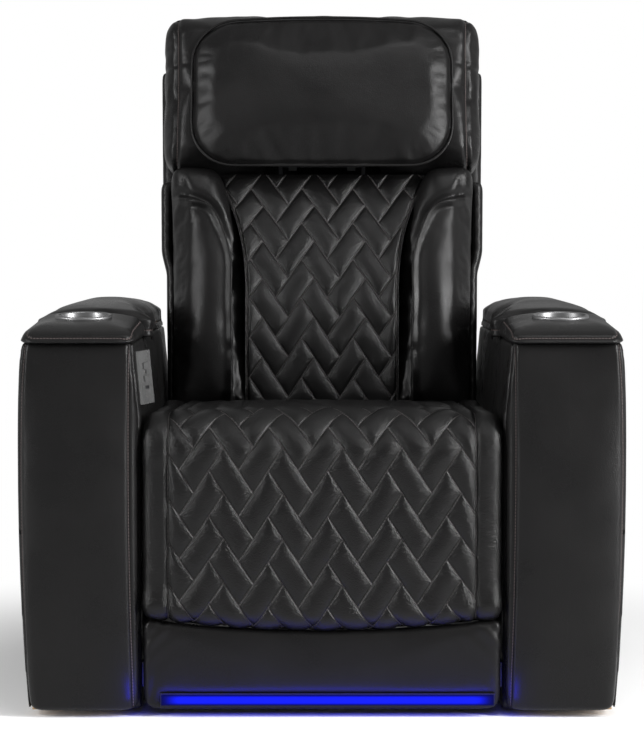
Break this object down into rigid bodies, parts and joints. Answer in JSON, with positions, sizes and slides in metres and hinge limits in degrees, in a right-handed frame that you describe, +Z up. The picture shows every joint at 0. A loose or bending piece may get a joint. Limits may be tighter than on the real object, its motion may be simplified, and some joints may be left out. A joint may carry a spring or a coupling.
{
  "type": "cinema recliner seat",
  "caption": "Powered recliner seat with quilted seat and back, padded head block, swinging leg rest and two storage arms with cup holders.",
  "frame": {"origin": "on the floor under the middle of the seat's outline", "axes": "+Z up, +X to the right as seen from the front, -Y towards the front, where the sitter looks"},
  "size_m": [0.89, 0.9354, 1.0807],
  "materials": {
    "leather": "soft satin grain",
    "quilted_leather": "glossy, herringbone tufts with pale thread",
    "cup_steel": "brushed",
    "zinc_steel": "zinc plated",
    "black_paint": "satin black",
    "black_plastic": "matte",
    "silver_plastic": "satin silver",
    "plywood": "raw",
    "light_blue": "lit diffuser",
    "channel_aluminium": "anodised"
  },
  "bodies": {
    "base": {"arm_front_left": "leather", "arm_front_right": "leather", "arm_outer_left": "leather", "arm_outer_right": "leather", "arm_inner_left": "leather", "arm_inner_right": "leather", "arm_rear_left": "leather", "arm_rear_right": "leather", "cup_deck_left": "leather", "cup_deck_right": "leather", "arm_floor_left": "plywood", "arm_floor_right": "plywood", "cup_left": "cup_steel", "cup_right": "cup_steel", "storage_tub_left": "black_plastic", "storage_tub_right": "black_plastic", "lid_hinge_left": "zinc_steel", "lid_hinge_right": "zinc_steel", "glide_front_left": "black_plastic", "glide_front_right": "black_plastic", "glide_rear_left": "black_plastic", "glide_rear_right": "black_plastic", "seat_cushion": "quilted_leather", "legrest_hinge": "zinc_steel", "kickboard": "leather", "light_channel": "channel_aluminium", "light_diffuser": "light_blue", "cross_rail_front": "black_paint", "cross_rail_rear": "black_paint", "drive_rail_front": "black_paint", "drive_rail_rear": "black_paint", "seat_frame": "black_paint", "side_plate_left": "black_paint", "side_plate_right": "black_paint", "legrest_motor": "black_plastic", "back_motor": "black_plastic", "control_panel": "silver_plastic", "charging_port": "black_plastic"},
    "legrest": {"legrest_board": "plywood", "legrest_pad": "quilted_leather", "legrest_lever": "zinc_steel"},
    "legrest_rod": {"legrest_rod": "zinc_steel"},
    "back": {"back_shell": "leather", "back_insert": "quilted_leather", "bolster_left": "leather", "bolster_right": "leather", "back_frame": "zinc_steel", "headrest_motor": "black_paint"},
    "back_rod": {"back_rod": "zinc_steel"},
    "headrest": {"head_block": "leather", "head_pillow": "leather", "headrest_bracket": "zinc_steel"},
    "lid_left": {"lid_pad_left": "leather", "lid_board_left": "plywood"},
    "lid_right": {"lid_pad_right": "leather", "lid_board_right": "plywood"},
    "button_open": {"button_open": "silver_plastic"},
    "button_close": {"button_close": "silver_plastic"},
    "button_home": {"button_home": "silver_plastic"}
  },
  "joints": [
    {"name": "legrest_swing", "type": "hinge", "parent": "base", "child": "legrest", "pos_m": [0, -0.42975, 0.42108], "axis": [-1, 0, 0], "range_deg": [0, 85]},
    {"name": "legrest_rod_slide", "type": "slide", "parent": "base", "child": "legrest_rod", "axis": [0, -0.9936, 0.1132], "range_m": [0, 0.23]},
    {"name": "back_recline", "type": "hinge", "parent": "base", "child": "back", "pos_m": [0, 0.20033, 0.338], "axis": [-1, 0, 0], "range_deg": [0, 35]},
    {"name": "back_rod_slide", "type": "slide", "parent": "base", "child": "back_rod", "axis": [0, -1, 0], "range_m": [0, 0.0545]},
    {"name": "headrest_tilt", "type": "hinge", "parent": "back", "child": "headrest", "pos_m": [0, 0.25507, 0.83038], "axis": [1, 0, 0], "range_deg": [0, 25]},
    {"name": "lid_left_open", "type": "hinge", "parent": "base", "child": "lid_left", "pos_m": [-0.4415, 0.05633, 0.5488], "axis": [0, -1, 0], "range_deg": [0, 95]},
    {"name": "lid_right_open", "type": "hinge", "parent": "base", "child": "lid_right", "pos_m": [0.4415, 0.05633, 0.5488], "axis": [0, 1, 0], "range_deg": [0, 95]},
    {"name": "button_open_press", "type": "slide", "parent": "base", "child": "button_open", "axis": [-0.923, 0.3746, -0.0879], "range_m": [0, 0.0015], "stiffness_N_per_m": 400, "springref_m": -0.0006},
    {"name": "button_close_press", "type": "slide", "parent": "base", "child": "button_close", "axis": [-0.923, 0.3746, -0.0879], "range_m": [0, 0.0015], "stiffness_N_per_m": 400, "springref_m": -0.0006},
    {"name": "button_home_press", "type": "slide", "parent": "base", "child": "button_home", "axis": [-0.923, 0.3746, -0.0879], "range_m": [0, 0.0015], "stiffness_N_per_m": 400, "springref_m": -0.0006}
  ],
  "couplings": [
    {"joint": "legrest_rod_slide", "follows": "legrest_swing", "m_per_rad": 0.15483},
    {"joint": "back_rod_slide", "follows": "back_recline", "m_per_rad": 0.088607}
  ]
}
